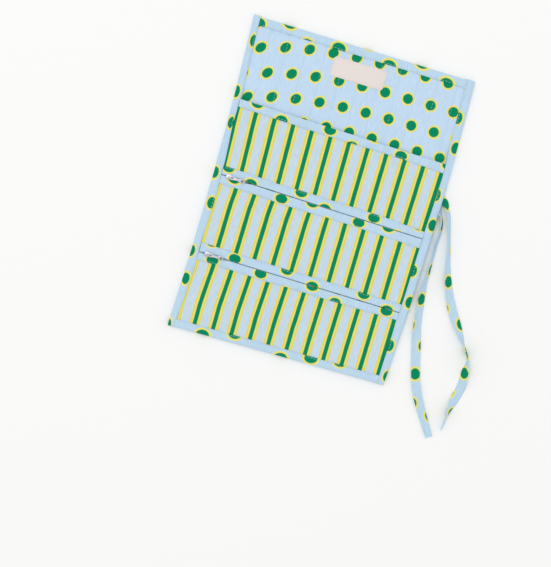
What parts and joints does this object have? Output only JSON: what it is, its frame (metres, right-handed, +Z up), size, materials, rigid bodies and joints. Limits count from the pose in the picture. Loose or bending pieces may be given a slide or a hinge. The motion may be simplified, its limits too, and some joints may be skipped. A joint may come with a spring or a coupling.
{
  "type": "roll-up pouch",
  "caption": "Sewn cloth pouch that folds up under a flap, with a slip pocket, zipped pockets, bound edges and a two-tailed tie, lying open.",
  "frame": {"origin": "on the surface that the pouch lies on, under the middle of the open pouch, the tie's tails not counted", "axes": "+X across the pouch to the side where the tie comes out, +Y along the open pouch towards the flap, +Z up out of the lining"},
  "size_m": [0.2787, 0.3263, 0.008],
  "materials": {
    "striped_cloth": "plain-weave cotton, pale blue with green stripes edged in yellow",
    "dotted_cloth": "plain-weave cotton, light blue with green dots ringed in yellow",
    "dotted_binding": "bias-cut dotted cotton, folded and sewn round the edges",
    "tie_cloth": "folded dotted cotton band",
    "wadding": "thin white wadding",
    "label_cloth": "woven pale pink label, blank",
    "zip_tape": "woven grey-blue zip tape with its coil",
    "zip_metal": "bright white metal"
  },
  "bodies": {
    "panel_1": {"panel_1_outer_cloth": "striped_cloth", "panel_1_wadding": "wadding", "panel_1_lining": "dotted_cloth", "panel_1_binding_left": "dotted_binding", "panel_1_binding_right": "dotted_binding", "pocket_1_front": "striped_cloth", "zip_1_upper_band": "dotted_binding", "zip_1_lower_band": "dotted_binding", "zip_1_upper_tape": "zip_tape", "zip_1_lower_tape": "zip_tape", "pocket_2_front_top": "striped_cloth", "tie_middle": "tie_cloth", "tie_tail_inner": "tie_cloth", "tie_tail_outer": "tie_cloth"},
    "fold_a": {"fold_a_outer_cloth": "striped_cloth", "fold_a_wadding": "wadding", "fold_a_lining": "dotted_cloth", "fold_a_binding_left": "dotted_binding", "fold_a_binding_right": "dotted_binding", "pocket_1_front_upper": "striped_cloth", "pocket_1_mouth_binding": "dotted_binding"},
    "flap": {"flap_outer_cloth": "striped_cloth", "flap_wadding": "wadding", "flap_lining": "dotted_cloth", "flap_binding_left": "dotted_binding", "flap_binding_right": "dotted_binding", "flap_binding_top": "dotted_binding", "label": "label_cloth"},
    "fold_b": {"fold_b_outer_cloth": "striped_cloth", "fold_b_wadding": "wadding", "fold_b_lining": "dotted_cloth", "fold_b_binding_left": "dotted_binding", "fold_b_binding_right": "dotted_binding", "pocket_2_front_upper": "striped_cloth"},
    "panel_2": {"panel_2_outer_cloth": "striped_cloth", "panel_2_wadding": "wadding", "panel_2_lining": "dotted_cloth", "panel_2_binding_left": "dotted_binding", "panel_2_binding_right": "dotted_binding", "pocket_2_front": "striped_cloth", "zip_2_upper_band": "dotted_binding", "zip_2_lower_band": "dotted_binding", "zip_2_upper_tape": "zip_tape", "zip_2_lower_tape": "zip_tape", "pocket_3_front_top": "striped_cloth"},
    "panel_3": {"panel_3_outer_cloth": "striped_cloth", "panel_3_wadding": "wadding", "panel_3_lining": "dotted_cloth", "panel_3_binding_left": "dotted_binding", "panel_3_binding_right": "dotted_binding", "panel_3_binding_bottom": "dotted_binding", "pocket_3_front": "striped_cloth"},
    "zip_1_slider": {"zip_1_slider": "zip_metal"},
    "zip_1_pull": {"zip_1_pull": "zip_metal"},
    "zip_2_slider": {"zip_2_slider": "zip_metal"},
    "zip_2_pull": {"zip_2_pull": "zip_metal"}
  },
  "joints": [
    {"name": "fold_a_lower", "type": "hinge", "parent": "panel_1", "child": "fold_a", "pos_m": [0, 0.0564, 0.0057], "axis": [1, 0, 0], "range_deg": [0, 90]},
    {"name": "fold_a_upper", "type": "hinge", "parent": "fold_a", "child": "flap", "pos_m": [0, 0.0735, 0.0057], "axis": [1, 0, 0], "range_deg": [0, 90]},
    {"name": "fold_b_upper", "type": "hinge", "parent": "panel_1", "child": "fold_b", "pos_m": [0, -0.0146, 0.0057], "axis": [-1, 0, 0], "range_deg": [0, 90]},
    {"name": "fold_b_lower", "type": "hinge", "parent": "fold_b", "child": "panel_2", "pos_m": [0, -0.0264, 0.0057], "axis": [-1, 0, 0], "range_deg": [0, 90]},
    {"name": "fold_c", "type": "hinge", "parent": "panel_2", "child": "panel_3", "pos_m": [0, -0.0872, 0.007], "axis": [-1, 0, 0], "range_deg": [0, 179]},
    {"name": "zip_1_slide", "type": "slide", "parent": "panel_1", "child": "zip_1_slider", "axis": [0.9994, -0.0351, 0], "range_m": [0, 0.167]},
    {"name": "zip_1_pull_hinge", "type": "hinge", "parent": "zip_1_slider", "child": "zip_1_pull", "pos_m": [-0.08345, 0.00123, 0.00715], "axis": [-0.0351, -0.9994, 0], "range_deg": [0, 180]},
    {"name": "zip_2_slide", "type": "slide", "parent": "panel_2", "child": "zip_2_slider", "axis": [0.9997, -0.0229, 0], "range_m": [0, 0.167]},
    {"name": "zip_2_pull_hinge", "type": "hinge", "parent": "zip_2_slider", "child": "zip_2_pull", "pos_m": [-0.08348, -0.07109, 0.00715], "axis": [-0.0229, -0.9997, 0], "range_deg": [0, 180]}
  ],
  "couplings": [
    {"joint": "fold_a_upper", "follows": "fold_a_lower", "ratio": 1},
    {"joint": "fold_b_lower", "follows": "fold_b_upper", "ratio": 1}
  ]
}
